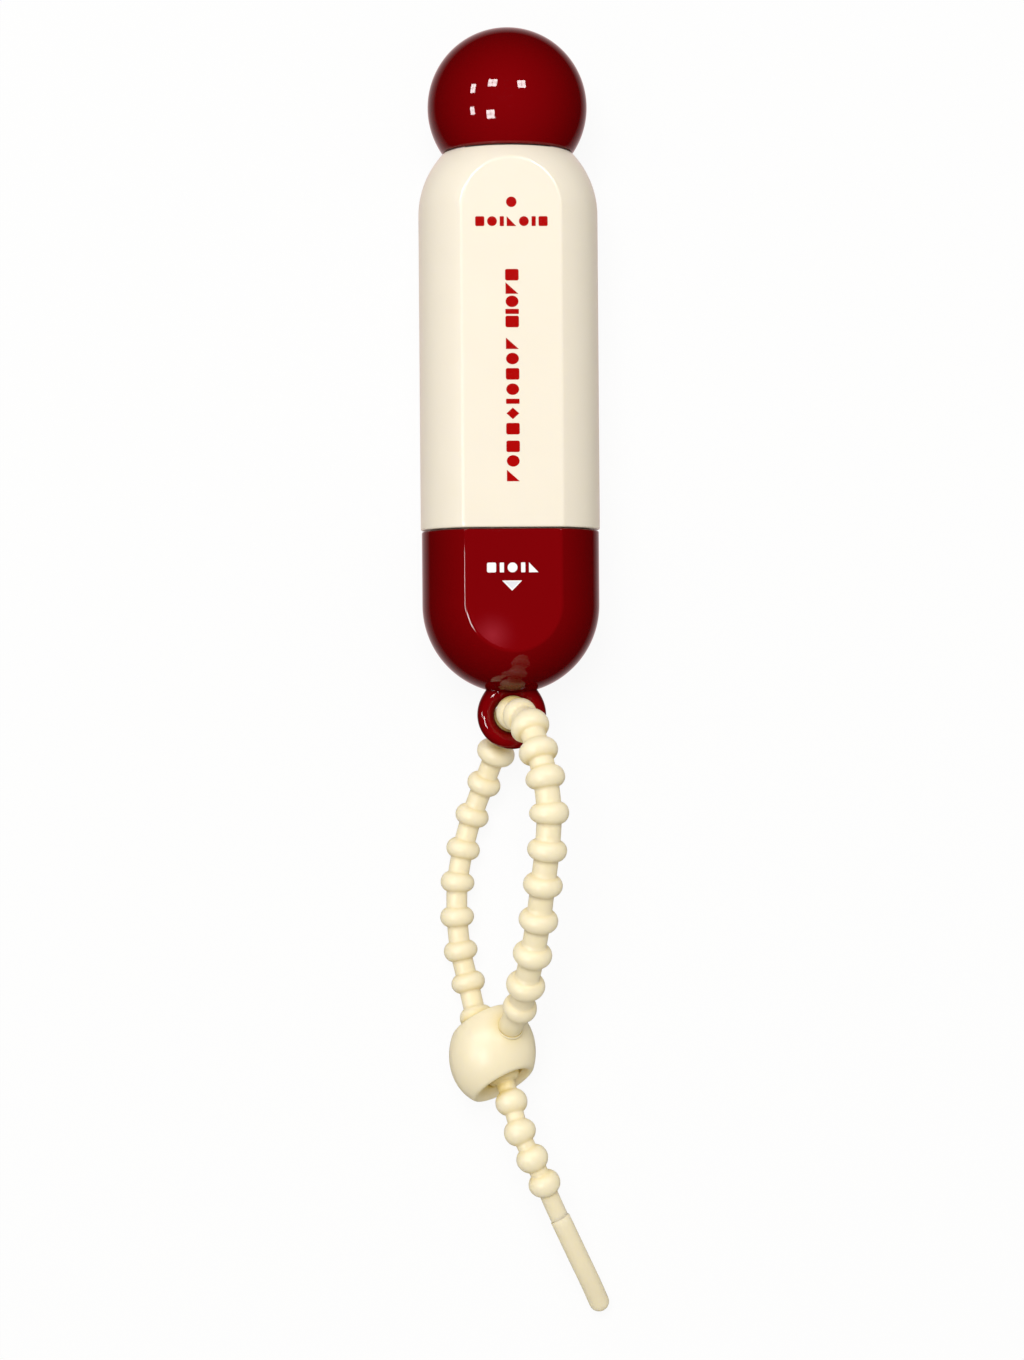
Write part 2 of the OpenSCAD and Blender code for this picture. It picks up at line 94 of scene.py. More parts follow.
# Points of the route: the small bead beside the lock bead's socket, the wide one just under the ring, and the
# last points of the thick run, the thin run, the tail's beads and the slim strand behind them.
socket_bead, under_bead = 1, 14
thick_last, thin_last, tail_last, slim_last = 10, 24, 28, 30
bead_half = 1.55 * MM


def bead_size(i):
    """Radius of the bead at a point of the route, and half its length."""
    if i == socket_bead:
        return 2.6 * MM, bead_half
    if i <= thick_last or i == under_bead:
        return 2.95 * MM, bead_half
    if i <= thin_last:
        return 2.6 * MM, bead_half
    return 2.45 * MM, 1.95 * MM


def neck_size(i):
    """Radius of the plain strand between a point of the route and the next."""
    if i <= thick_last:
        return 1.85 * MM
    if i < thin_last:
        return 1.6 * MM
    if i <= slim_last:
        return 1.4 * MM
    return 1.55 * MM


def route_point(i, t):
    """Smooth curve through the route, at share t of the way from point i to the next."""
    def slope(k):
        if k == 0:
            return route[1] - route[0]
        if k == last:
            return route[last] - route[last - 1]
        return (route[k + 1] - route[k - 1]) / 2
    a, b = route[i], route[i + 1]
    return (a * (2 * t ** 3 - 3 * t ** 2 + 1) + slope(i) * (t ** 3 - 2 * t ** 2 + t)
            + b * (3 * t ** 2 - 2 * t ** 3) + slope(i + 1) * (t ** 3 - t ** 2))


bead_steps = 8
step_from, step_to = 0.35, 0.75
end_gap = 0.03 * MM
least_r = 0.05 * MM
strand = []
for i in range(last):
    gap = (route[i + 1] - route[i]).length
    neck = neck_size(i)
    stops = {0.0: neck, 1.0: neck}
    low, high = 0.0, 1.0
    for end, k in ((0, i), (1, i + 1)):
        if socket_bead <= k <= tail_last:
            outer, half = bead_size(k)
            edge = math.acos(max(-1, min(1, (neck - outer + half) / half)))
            for n in range(bead_steps + 1):
                a = edge * n / bead_steps
                share = half * math.sin(a) / gap
                stops[share if end == 0 else 1 - share] = outer - half + half * math.cos(a)
            low, high = (share, high) if end == 0 else (low, 1 - share)
    for n in (1, 2, 3):
        stops[low + (high - low) * n / 4] = neck
    if i == slim_last:
        stops[step_from] = neck_size(i)
        stops[step_to] = neck_size(i + 1)
    strand += [(route_point(i, s), stops[s]) for s in sorted(stops) if s < 1.0]
pull_r = neck_size(last)
way = (route[last] - route[last - 1]).normalized()
for degrees in range(0, 91, 10):
    a = math.radians(degrees)
    strand.append((route[last] + way * (pull_r - end_gap) * math.sin(a), max(pull_r * math.cos(a), least_r)))


def add_piece(name, mesh, material=None):
    """Puts a mesh or a bmesh in the scene as an object, with one material. A bmesh is used up."""
    data = mesh
    if isinstance(mesh, bmesh.types.BMesh):
        data = bpy.data.meshes.new(name)
        mesh.to_mesh(data)
        mesh.free()
    if material:
        data.materials.append(material)
    piece = bpy.data.objects.new(name, data)
    bpy.context.scene.collection.objects.link(piece)
    return piece


def new_tree(name, inputs):
    """An empty Geometry Nodes tree with a geometry in and out, and one named input for each size."""
    tree = bpy.data.node_groups.new(name, "GeometryNodeTree")
    tree.interface.new_socket("Geometry", in_out="INPUT", socket_type="NodeSocketGeometry")
    for label, kind in inputs:
        tree.interface.new_socket(label, in_out="INPUT", socket_type=kind)
    tree.interface.new_socket("Geometry", in_out="OUTPUT", socket_type="NodeSocketGeometry")
    return tree, tree.nodes.new("NodeGroupInput"), tree.nodes.new("NodeGroupOutput")


def close_tree(tree, ins, outs, made):
    """Ends a Geometry Nodes tree: what was made becomes real, smooth-shaded and painted with its material."""
    real = tree.nodes.new("GeometryNodeRealizeInstances")
    smooth = tree.nodes.new("GeometryNodeSetShadeSmooth")
    paint = tree.nodes.new("GeometryNodeSetMaterial")
    tree.links.new(made, real.inputs["Geometry"])
    tree.links.new(real.outputs["Geometry"], smooth.inputs["Geometry"])
    tree.links.new(smooth.outputs["Geometry"], paint.inputs["Geometry"])
    tree.links.new(ins.outputs["Material"], paint.inputs["Material"])
    tree.links.new(paint.outputs["Geometry"], outs.inputs["Geometry"])


def grow(name, source, tree, values):
    """Runs a Geometry Nodes tree on a source object and keeps its result as a plain mesh object."""
    modifier = source.modifiers.new("grow", "NODES")
    modifier.node_group = tree
    for socket in tree.interface.items_tree:
        if socket.in_out == "INPUT" and socket.name in values:
            modifier[socket.identifier] = values[socket.name]
    bpy.context.scene.collection.objects.link(source)
    bpy.context.view_layer.update()
    evaluated = source.evaluated_get(bpy.context.evaluated_depsgraph_get())
    mesh = bpy.data.meshes.new_from_object(evaluated)
    bpy.data.objects.remove(source)
    return add_piece(name, mesh)


def fill(node, values):
    """Gives values to a node's inputs by their names."""
    for socket, value in values.items():
        node.inputs[socket].default_value = value


def ramp(tree, source, limits):
    """Adds a Map Range node, with its from and to limits, and returns its output."""
    node = tree.nodes.new("ShaderNodeMapRange")
    fill(node, dict(zip(("From Min", "From Max", "To Min", "To Max"), limits)))
    tree.links.new(source, node.inputs["Value"])
    return node.outputs["Result"]


def moulded(name, colour, roughness, subsurface=0.0, coat=0.0, grain=0.02, depth=0.00002, specular=0.5,
            mottle=0.03):
    """A moulded plastic or silicone: an even colour with a faint mottle, and a fine skin texture in the bump."""
    material = bpy.data.materials.new(name)
    material.use_nodes = True
    nodes, links = material.node_tree.nodes, material.node_tree.links
    shader = nodes["Principled BSDF"]
    fill(shader, {
        "Roughness": roughness, "Specular IOR Level": specular, "Subsurface Weight": subsurface,
        "Subsurface Radius": (1.0, 0.95, 0.5), "Subsurface Scale": 0.0012, "Coat Weight": coat,
        "Coat Roughness": 0.03})
    place = nodes.new("ShaderNodeTexCoord")
    cloud = nodes.new("ShaderNodeTexNoise")
    fill(cloud, {"Scale": 90, "Detail": 3})
    tint = nodes.new("ShaderNodeValToRGB")
    dark, light = tint.color_ramp.elements
    dark.position, light.position = 0.3, 0.7
    dark.color = tuple(c * (1 - mottle) for c in colour) + (1,)
    light.color = tuple(min(1, c * (1 + mottle / 2)) for c in colour) + (1,)
    links.new(place.outputs["Object"], cloud.inputs["Vector"])
    links.new(cloud.outputs["Fac"], tint.inputs["Fac"])
    links.new(tint.outputs["Color"], shader.inputs["Base Color"])
    skin = nodes.new("ShaderNodeTexNoise")
    fill(skin, {"Scale": 2600, "Detail": 2})
    bump = nodes.new("ShaderNodeBump")
    fill(bump, {"Strength": grain, "Distance": depth})
    links.new(place.outputs["Object"], skin.inputs["Vector"])
    links.new(skin.outputs["Fac"], bump.inputs["Height"])
    links.new(bump.outputs["Normal"], shader.inputs["Normal"])
    return material


def paint_crevice_shade(material, deep, reach):
    """Paints shade into a soft silicone's base colour where ambient occlusion finds little light, as between
    beads.
    """
    tree = material.node_tree
    base = tree.nodes["Principled BSDF"].inputs["Base Color"]
    open_colour = base.links[0].from_socket
    near = tree.nodes.new("ShaderNodeAmbientOcclusion")
    near.samples = 8
    near.inputs["Distance"].default_value = reach
    blend = tree.nodes.new("ShaderNodeMix")
    blend.data_type = "RGBA"
    blend.inputs[6].default_value = (*deep, 1)
    tree.links.new(ramp(tree, near.outputs["AO"], (0.5, 0.98, 0.0, 1.0)), blend.inputs[0])
    tree.links.new(open_colour, blend.inputs[7])
    tree.links.new(blend.outputs[2], base)


# The crevice colour is painted shade: a deeper yellow that ambient occlusion blends into the silicone's colour.
silicone_colour, crevice_shade_colour = (0.93, 0.83, 0.60), (0.78, 0.62, 0.24)
crevice_shade_reach = 3 * MM
silicone = moulded("cream_silicone", silicone_colour, 0.42, subsurface=0.25, grain=0.025, specular=0.4)
paint_crevice_shade(silicone, crevice_shade_colour, crevice_shade_reach)

tree, ins, outs = new_tree("beaded_strand", [("Sides", "NodeSocketInt"), ("Material", "NodeSocketMaterial")])
nodes, links = tree.nodes, tree.links
rim = nodes.new("GeometryNodeCurvePrimitiveCircle")
rim.inputs["Radius"].default_value = 1.0
girth = nodes.new("GeometryNodeInputRadius")
sweep = nodes.new("GeometryNodeCurveToMesh")
sweep.inputs["Fill Caps"].default_value = True
links.new(ins.outputs["Sides"], rim.inputs["Resolution"])
links.new(ins.outputs["Geometry"], sweep.inputs["Curve"])
links.new(rim.outputs["Curve"], sweep.inputs["Profile Curve"])
links.new(girth.outputs["Radius"], sweep.inputs["Scale"])
close_tree(tree, ins, outs, sweep.outputs["Mesh"])

line = bpy.data.curves.new("strap_line", "CURVE")
line.dimensions = "3D"
spline = line.splines.new("POLY")
spline.points.add(len(strand) - 1)
for point, (place, girth_r) in zip(spline.points, strand):
    point.co = (*place, 1)
    point.radius = girth_r
strap = grow("silicone_strap", bpy.data.objects.new("strap_line", line), tree,
             {"Sides": 32, "Material": silicone})
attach(strap, "strap")
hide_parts("strap")

# The lock bead is an oval bead of the same silicone. The thin run slips through its long hole, which opens in a
# dished front face and a flat back one, and the thick run is moulded into a socket in its side, with a thin lip.

lock_middle = Vector((-3.1 * MM, ring_y - 51.65 * MM, 6.65 * MM))
lock_way = Vector((0.43, -0.81, 0.39)).normalized()
lock_long = Vector((0.11, 0.994, 0)).normalized()
lock_half_w = 6.6 * MM
lock_half_l = 7.8 * MM
lock_face = 5.1 * MM
lock_back = 5.4 * MM
lock_hole_r = 2.9 * MM


def turned(name, outline, steps, middle=Vector((0, 0, 0)), way=Vector((0, 0, 1)), material=None):
    """A piece turned about an axis: outline is a closed loop of (radius, height), or gives one for each side."""
    mesh = bmesh.new()
    turn_z = way.to_track_quat("Z", "X").to_matrix()
    rows = []
    for k in range(steps):
        a = 2 * math.pi * k / steps
        loop = outline(turn_z @ Vector((math.cos(a), math.sin(a), 0))) if callable(outline) else outline
        spots = [Vector((r * math.cos(a), r * math.sin(a), z)) for r, z in loop]
        rows.append([mesh.verts.new(middle + turn_z @ spot) for spot in spots])
    count = len(rows[0])
    for k in range(steps):
        here, there = rows[k], rows[(k + 1) % steps]
        for j in range(count):
            n = (j + 1) % count
            mesh.faces.new((here[j], there[j], there[n], here[n]))
    bmesh.ops.remove_doubles(mesh, verts=mesh.verts, dist=1e-7)
    bmesh.ops.recalc_face_normals(mesh, faces=mesh.faces)
    piece = add_piece(name, mesh, material)
    piece.data.shade_smooth()
    return piece


def arc(middle_r, middle_z, radius, start, end, steps):
    """Points of an arc in a turned outline, from one angle to another in degrees."""
    angles = [math.radians(start + (end - start) * n / steps) for n in range(steps + 1)]
    return [(middle_r + radius * math.cos(a), middle_z + radius * math.sin(a)) for a in angles]


def oval_reach(direction):
    """Distance from the lock bead's middle to the skin of its oval in a direction."""
    run = direction.dot(lock_long)
    return 1 / math.sqrt((run / lock_half_l) ** 2 + (1 - run ** 2) / lock_half_w ** 2)


def oval_at(out, height):
    """Radius of the oval's skin at a height along the hole's axis, on the side that out points to."""
    low, high = -89.0, 89.0
    for _ in range(40):
        mid = (low + high) / 2
        way = out * math.cos(math.radians(mid)) + lock_way * math.sin(math.radians(mid))
        low, high = (mid, high) if oval_reach(way) * math.sin(math.radians(mid)) < height else (low, mid)
    return oval_reach(way) * math.cos(math.radians(mid))


def soft_corner(start, corner, end, steps=8):
    """Points of a soft moulded corner between two skins."""
    return [tuple((1 - t) ** 2 * a + 2 * t * (1 - t) * b + t * t * c for a, b, c in zip(start, corner, end))
            for t in (n / steps for n in range(steps + 1))]


def lock_outline(out):
    """The lock bead's outline on one side of its hole: skin, dished front face, hole wall and back face."""
    front, back = lock_face - 0.5 * MM, -lock_back + 0.4 * MM
    heights = [back + (front - back) * n / 40 for n in range(41)]
    skin = [(oval_at(out, height), height) for height in heights]
    rim_f, rim_b = oval_at(out, lock_face), oval_at(out, -lock_back)
    mouth_r = lock_hole_r + 0.3 * MM
    dish_w = rim_f - 0.9 * MM - lock_hole_r
    dish_rim, dish_deep = 0.16 * MM, 0.78 * MM
    loop = skin[:-1]
    loop += soft_corner(skin[-1], (rim_f + 0.05 * MM, lock_face + 0.06 * MM),
                        (rim_f - 0.6 * MM, lock_face - dish_rim))
    loop += [(mouth_r + dish_w * s, lock_face - dish_rim - (dish_deep - dish_rim) * (1 - s))
             for s in (0.75, 0.5, 0.25)]
    loop += soft_corner((mouth_r, lock_face - dish_deep), (lock_hole_r, lock_face - 0.85 * MM),
                        (lock_hole_r, lock_face - 1.2 * MM), 5)
    loop += [(lock_hole_r, z * MM) for z in (2.4, 1.2, 0.0, -1.2, -2.4, -3.6)]
    loop += soft_corner((lock_hole_r, -lock_back + 0.5 * MM), (lock_hole_r, -lock_back), (mouth_r, -lock_back), 5)
    return loop + soft_corner(((mouth_r + rim_b) / 2, -lock_back), (rim_b, -lock_back), skin[0], 6)[:-1]


silicone_bead = moulded("cream_silicone_bead", silicone_colour, 0.42, subsurface=0.25, grain=0.025,
                        specular=0.45)
# The same painted shade darkens the lock bead's colour in its dish, its hole and beside the strap.
paint_crevice_shade(silicone_bead, crevice_shade_colour, crevice_shade_reach)
lock_bead = turned("lock_bead_body", lock_outline, 120, lock_middle, lock_way, silicone_bead)
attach(lock_bead, "strap")
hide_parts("lock_bead")

socket_way = (route[1] - route[0]).normalized()
lip_outline = [(1.86, -0.6), (2.1, -0.6), (2.08, 0.6), (2.02, 0.68), (1.94, 0.7), (1.86, 0.66)]
collar = turned("strap_socket_lip", [(r * MM, z * MM) for r, z in lip_outline], 48, route[0], socket_way,
                silicone_bead)
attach(collar, "strap")

# The barrel is the cream shell of the pen, injection moulded: a round tube with a flat on its front and back, the
# flats' rounded edges run on round the shoulder, and a thick ring inside the rim holds the remover's plug.

axis_z = 12 * MM
flat_half = 11.3 * MM
edge_r = 1.0 * MM
wall_mm = 1.5
barrel_r = 13.5 * MM
seam_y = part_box("barrel")[0].y
rim_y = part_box("barrel")[1].y
rim_r = 9.8 * MM
shoulder_y = rim_y - math.sqrt(barrel_r ** 2 - rim_r ** 2)


def half_section(r, inset):
    """Half of the pen's cross-section from the back flat's middle to the front flat's, moved in by inset."""
    r, flat, e = r - inset, flat_half - inset, max(edge_r - inset, 0.04 * MM)
    mid = math.sqrt((r - e) ** 2 - (flat - e) ** 2)
    meet = math.degrees(math.atan2(flat - e, mid))
    low = [(x * (mid - 0.25 * MM), -flat) for x in (0, 0.2, 0.4, 0.6, 0.8, 1)] + [(mid - 0.08 * MM, -flat)]
    for n in range(11):
        a = math.radians(-90 + (90 - meet) * n / 10)
        low.append((mid + e * math.cos(a), -(flat - e) + e * math.sin(a)))
    side = [math.radians(-meet + 2 * meet * n / 40) for n in range(1, 40)]
    return low + [(r * math.cos(a), r * math.sin(a)) for a in side] + [(x, -z) for x, z in reversed(low)]


def pen_shell(r, mouth_y, dome_y, steps=72):
    """Shell of the pen from a mouth to a round end about dome_y, as a bmesh with its wall closed at the mouth."""
    up = 1 if dome_y > mouth_y else -1
    mouth = [(0.75, 0.0), (0.30, 0.0), (0.12, 0.03), (0.03, 0.12), (0.0, 0.30), (0.0, 1.0)]
    inside = [(wall_mm - inset, y) for inset, y in mouth]
    mesh = bmesh.new()
    for stations in (mouth, inside):
        rows = []
        skin = stations[-1][0] * MM
        inner = skin > 0
        side_run = [(inset * MM, mouth_y + up * y * MM) for inset, y in stations]
        length = abs(dome_y - mouth_y)
        side_run += [(skin, mouth_y + up * length * s) for s in (0.1, 0.25, 0.5, 0.75, 0.97)]
        for side in (1, -1):
            for inset, y in side_run if side == 1 else reversed(side_run):
                rows.append([(side * x, y, z) for x, z in half_section(r, inset)])
            if side == 1:
                for k in range(steps + 1):
                    a = math.pi * k / steps
                    rows.append([(x * math.cos(a), dome_y + up * x * math.sin(a), z)
                                 for x, z in half_section(r, skin)])
        grid = [[mesh.verts.new((x, y, axis_z + z)) for x, y, z in row] for row in rows]
        for a, b in zip(grid, grid[1:]):
            for j in range(len(a) - 1):
                corners = (a[j], b[j], b[j + 1], a[j + 1])
                if inner != (up < 0):
                    corners = tuple(reversed(corners))
                mesh.faces.new(corners)
    bmesh.ops.remove_doubles(mesh, verts=mesh.verts, dist=1e-6)
    bmesh.ops.dissolve_degenerate(mesh, edges=mesh.edges, dist=1e-7)
    return mesh


def finish_mesh(name, mesh, material):
    """Turns a bmesh into a smooth-shaded piece whose big faces keep their own direction."""
    piece = add_piece(name, mesh, material)
    piece.data.shade_smooth()
    weighted = piece.modifiers.new("even_shading", "WEIGHTED_NORMAL")
    weighted.keep_sharp = True
    weighted.weight = 60
    return piece


cream = moulded("cream_barrel_plastic", (0.90, 0.828, 0.705), 0.30, subsurface=0.08, coat=0.15, grain=0.03,
                mottle=0.012)

shell = pen_shell(barrel_r, seam_y, shoulder_y)
bmesh.ops.bisect_plane(shell, geom=shell.verts[:] + shell.edges[:] + shell.faces[:], plane_co=(0, rim_y, 0),
                       plane_no=(0, 1, 0), clear_outer=True)
barrel = finish_mesh("barrel_shell", shell, cream)
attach(barrel, "barrel")
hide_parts("barrel")

bore_r = rim_r - 1.6 * MM
boss_y = rim_y - 5 * MM
lip = 0.18 * MM
lip_r = rim_r - 0.06 * MM
pen_axis = Vector((0, 0, axis_z)), Vector((0, 1, 0))
rim_outline = [(bore_r, boss_y), (rim_r + 0.9 * MM, boss_y), (rim_r + 0.02 * MM, rim_y - 0.6 * MM),
               (lip_r, rim_y - lip)]
rim_outline += arc(lip_r - lip, rim_y - lip, lip, 0, 90, 4) + arc(bore_r + lip, rim_y - lip, lip, 90, 180, 4)
rim_ring = turned("barrel_rim", rim_outline, 128, *pen_axis, cream)
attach(rim_ring, "barrel")

# The ball cap is a hollow ball of dark red high-gloss plastic, cut off flat where it meets the rim. It pulls off
# the nib end, and a softer thimble pressed into it closes over the nib and grips the neck.

ball_r = 12 * MM
ball_in_r = ball_r - 1.2 * MM
ball_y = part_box("remover_cap")[1].y - ball_r
ball_low_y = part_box("remover_cap")[0].y

red = moulded("dark_red_gloss_plastic", (0.80, 0.03, 0.04), 0.045, coat=1.0, grain=0.004, specular=0.0,
              mottle=0.02)
fill(red.node_tree.nodes["Principled BSDF"], {"Coat IOR": 1.3, "Coat Tint": (0.25, 0.03, 0.06, 1)})

low_angle = math.degrees(math.asin((ball_low_y - ball_y) / ball_r))
low_in = math.degrees(math.asin((ball_low_y - ball_y) / ball_in_r))
edge_out = ball_r * math.cos(math.radians(low_angle))
edge_in = ball_in_r * math.cos(math.radians(low_in))
ball_outline = arc(0, ball_y, ball_r, 90, low_angle + 1.2, 72)
ball_outline += [(edge_out - 0.10 * MM, ball_low_y + 0.03 * MM), (edge_out - 0.22 * MM, ball_low_y),
                 (edge_in + 0.15 * MM, ball_low_y)]
ball_outline += arc(0, ball_y, ball_in_r, low_in + 1.0, 90, 60)
ball_cap = turned("ball_cap", ball_outline, 144, *pen_axis, red)
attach(ball_cap, "ball_cap")
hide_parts("remover_cap")

# The brush cap is the lower cap, of the same dark red plastic and with the same flats as the barrel. Its round
# end carries the strap ring, which is moulded with it and flares where it runs into the dome.

cap_r = 13.35 * MM
cap_low_y = ring_y + ring_hole_r + 2 * ring_wire_r - 2.0 * MM
cap_mouth_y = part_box("brush_cap")[1].y
cap_dome_y = cap_low_y + cap_r
brush_cap = finish_mesh("brush_cap", pen_shell(cap_r, cap_mouth_y, cap_dome_y), red)
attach(brush_cap, "brush_cap")
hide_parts("brush_cap")

ring_r = ring_hole_r + ring_wire_r
ring_steps, wire_steps = 128, 40
flare, flare_reach = 0.55 * MM, 0.75 * MM
mesh = bmesh.new()
rows = []
for k in range(ring_steps):
    a = 2 * math.pi * k / ring_steps
    out = Vector((math.cos(a), math.sin(a), 0))
    spot = Vector((0, ring_y, axis_z)) + out * ring_r
    reach = (spot - Vector((0, cap_dome_y, axis_z))).length - cap_r
    wire = ring_wire_r + flare * math.exp(-max(reach, 0) / flare_reach)
    turns = [2 * math.pi * j / wire_steps for j in range(wire_steps)]
    rows.append([mesh.verts.new(spot + out * wire * math.cos(b) + Vector((0, 0, wire * math.sin(b))))
                 for b in turns])
for k in range(ring_steps):
    here, there = rows[k], rows[(k + 1) % ring_steps]
    for j in range(wire_steps):
        n = (j + 1) % wire_steps
        mesh.faces.new((here[j], there[j], there[n], here[n]))
bmesh.ops.recalc_face_normals(mesh, faces=mesh.faces)
strap_ring = finish_mesh("strap_ring", mesh, red)
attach(strap_ring, "brush_cap")

# The prints are thin pad prints on the two front flats. The place of each word holds plain marks of the same size
# and weight: dots, bars, blocks and wedges that spell nothing. The dot and the arrow are kept, as common shapes.

flat_z = axis_z + flat_half


def mark(kind, w, h):
    """Outline of one plain mark, w wide and h high about its middle."""
    if kind == "dot":
        return [(w / 2 * math.cos(math.pi * k / 16), h / 2 * math.sin(math.pi * k / 16)) for k in range(32)]
    if kind == "wedge":
        return [(-w / 2, h / 2), (-w / 2, -h / 2), (w / 2, -h / 2)]
    if kind == "arrow":
        return [(-w / 2, h / 2), (0, -h / 2), (w / 2, h / 2)]
    if kind == "lozenge":
        return [(0, h / 2), (-w / 2, 0), (0, -h / 2), (w / 2, 0)]
    c = min(w, h) * 0.16
    x, y = w / 2 - c, h / 2 - c
    corners = [(x, y, 0), (-x, y, 90), (-x, -y, 180), (x, -y, 270)]
    return [(u + c * math.cos(math.radians(s + 22.5 * k)), v + c * math.sin(math.radians(s + 22.5 * k)))
            for u, v, s in corners for k in range(5)]


def print_marks(name, marks, material, body, thick=0.02 * MM):
    """One thin sheet of ink for a list of marks: (kind, across, along, width, height), in mm."""
    mesh = bmesh.new()
    for kind, x, y, w, h in marks:
        loop = [((x + a) * MM, (y + b) * MM) for a, b in mark(kind, w, h)]
        top = [mesh.verts.new((*spot, flat_z + thick)) for spot in loop]
        low = [mesh.verts.new((*spot, flat_z - 0.05 * MM)) for spot in loop]
        mesh.faces.new(top)
        mesh.faces.new(list(reversed(low)))
        for k in range(len(loop)):
            n = (k + 1) % len(loop)
            mesh.faces.new((top[k], low[k], low[n], top[n]))
    bmesh.ops.recalc_face_normals(mesh, faces=mesh.faces)
    piece = add_piece(name, mesh, material)
    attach(piece, body)


red_ink = moulded("red_pad_print", (0.42, 0.001, 0.001), 0.12, grain=0.02, specular=0.3)
white_ink = moulded("white_pad_print", (0.92, 0.92, 0.93), 0.45, grain=0.1)
grey_ink = moulded("pale_grey_pad_print", (0.74, 0.76, 0.82), 0.45, grain=0.1)

row_h = 1.45
widths = {"block": 1.35, "dot": 1.45, "bar": 0.62, "wedge": 1.4, "lozenge": 1.35}


def row_of_marks(kinds, left, run, y):
    """Marks side by side from left on, spread evenly over a run."""
    space = (run - sum(widths[k] for k in kinds)) / (len(kinds) - 1)
    marks, x = [], left
    for kind in kinds:
        marks.append((kind, x + widths[kind] / 2, y, widths[kind], row_h))
        x += widths[kind] + space
    return marks


marks = [("dot", 0.0, 26.6, 1.55, 1.55)]
marks += row_of_marks(["block", "dot", "bar", "wedge", "dot", "bar", "block"], -5.35, 10.7, 23.75)
mark_l, bar_l = 1.7, 0.75
columns = [
    (16.7, 8.1, ["block", "wedge", "dot", "bar", "block"]),
    (6.6, -7.7, ["wedge", "dot", "block", "dot", "bar", "lozenge", "block"]),
    (-8.6, -14.6, ["block", "dot", "wedge"]),
]
for top, low, kinds in columns:
    lengths = [bar_l if kind == "bar" else mark_l for kind in kinds]
    space = (top - low - sum(lengths)) / (len(kinds) - 1)
    y = top
    for kind, h in zip(kinds, lengths):
        marks.append((kind, 0.0, y - h / 2, 2.0 if kind in ("bar", "block") else 1.9, h))
        y -= h + space
print_marks("barrel_print", marks, red_ink, "barrel")

marks = row_of_marks(["block", "bar", "dot", "bar", "wedge"], -4.0, 7.6, -27.3)
marks.append(("arrow", -0.3, -29.98, 2.95, 1.5))
print_marks("cap_print", marks, white_ink, "brush_cap")
print_marks("cap_arrow_fill", [("arrow", -0.3, -29.9, 2.2, 1.08)], grey_ink, "brush_cap", 0.03 * MM)

# The remover end is what the ball covers and the barrel holds: a felt nib in a snap-ridged plug, pushed out by a
# steel spring round the valve's stem, over the housing and gasket that close a milky vial. The solids keep their
# shape.

white = moulded("white_moulded_plastic", (0.86, 0.84, 0.80), 0.38, subsurface=0.1, grain=0.04)
liner = moulded("liner_soft_plastic", (0.80, 0.77, 0.71), 0.5, subsurface=0.2, grain=0.06)
milky = moulded("milky_vial_plastic", (0.74, 0.80, 0.82), 0.25, subsurface=0.4, grain=0.03)
milky.node_tree.nodes["Principled BSDF"].inputs["Transmission Weight"].default_value = 0.35
black_rubber = moulded("gasket_rubber", (0.028, 0.028, 0.03), 0.6, grain=0.12)
steel = moulded("spring_steel", (0.60, 0.60, 0.62), 0.28, grain=0.05)
steel.node_tree.nodes["Principled BSDF"].inputs["Metallic"].default_value = 1.0


def dress(node, material):
    """Gives a solid of the frame its finish."""
    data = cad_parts[node].data
    data.materials.clear()
    data.materials.append(material)


dress("nib_holder", white)
dress("valve_stem", white)
dress("valve_housing", white)
dress("cap_liner", liner)
dress("vial_gasket", black_rubber)
dress("vial", milky)
dress("valve_spring", steel)

felt = moulded("pressed_felt", (0.80, 0.75, 0.65), 0.95, subsurface=0.15, grain=0.9, depth=0.00012, specular=0.1,
               mottle=0.08)
nib_low, nib_high = (corner.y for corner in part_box("nib"))
nib_r = 2.5 * MM
nib_foot = 0.1 * MM
nib_outline = [(0, nib_low), (nib_r - nib_foot, nib_low), (nib_r, nib_low + nib_foot)]
nib_point = [(2.5, 2.9), (2.42, 2.35), (2.18, 1.75), (1.72, 0.95), (1.2, 0.36), (0.65, 0.08), (0.3, 0), (0, 0)]
nib_outline += [(r * MM, nib_high - below * MM) for r, below in nib_point]
nib = turned("felt_nib", nib_outline, 48, *pen_axis, felt)
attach(nib, "nib")
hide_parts("nib")

# The brush end is what the lower cap covers: the collar that closes the barrel, a round white plate pressed into
# it, and tufts of fine nylon bristles that are set in the plate's holes and splay a little at their ends.

dress("brush_collar", cream)
dress("tuft_plate", white)
nylon = moulded("nylon_bristle", (0.84, 0.84, 0.82), 0.3, subsurface=0.1, grain=0.0, mottle=0.05)

tuft_low_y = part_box("bristle_tufts")[0].y
root_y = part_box("tuft_plate")[0].y + 0.6 * MM
pitch = 2.0 * MM
places = [(0, 0)]
for ring in (1, 2, 3):
    for k in range(6 * ring):
        a = math.radians(60 * k / ring)
        places.append((ring * pitch * math.cos(a), ring * pitch * math.sin(a)))
seats = bpy.data.meshes.new("tuft_seats")
seats.from_pydata([(x, root_y, axis_z + z) for x, z in places], [], [])


def maths(tree, operation, *values):
    """Adds a math node, whose inputs are numbers or other nodes' outputs, and returns its output."""
    node = tree.nodes.new("ShaderNodeMath")
    node.operation = operation
    for socket, value in zip(node.inputs, values):
        if isinstance(value, (int, float)):
            socket.default_value = value
        else:
            tree.links.new(value, socket)
    return node.outputs[0]


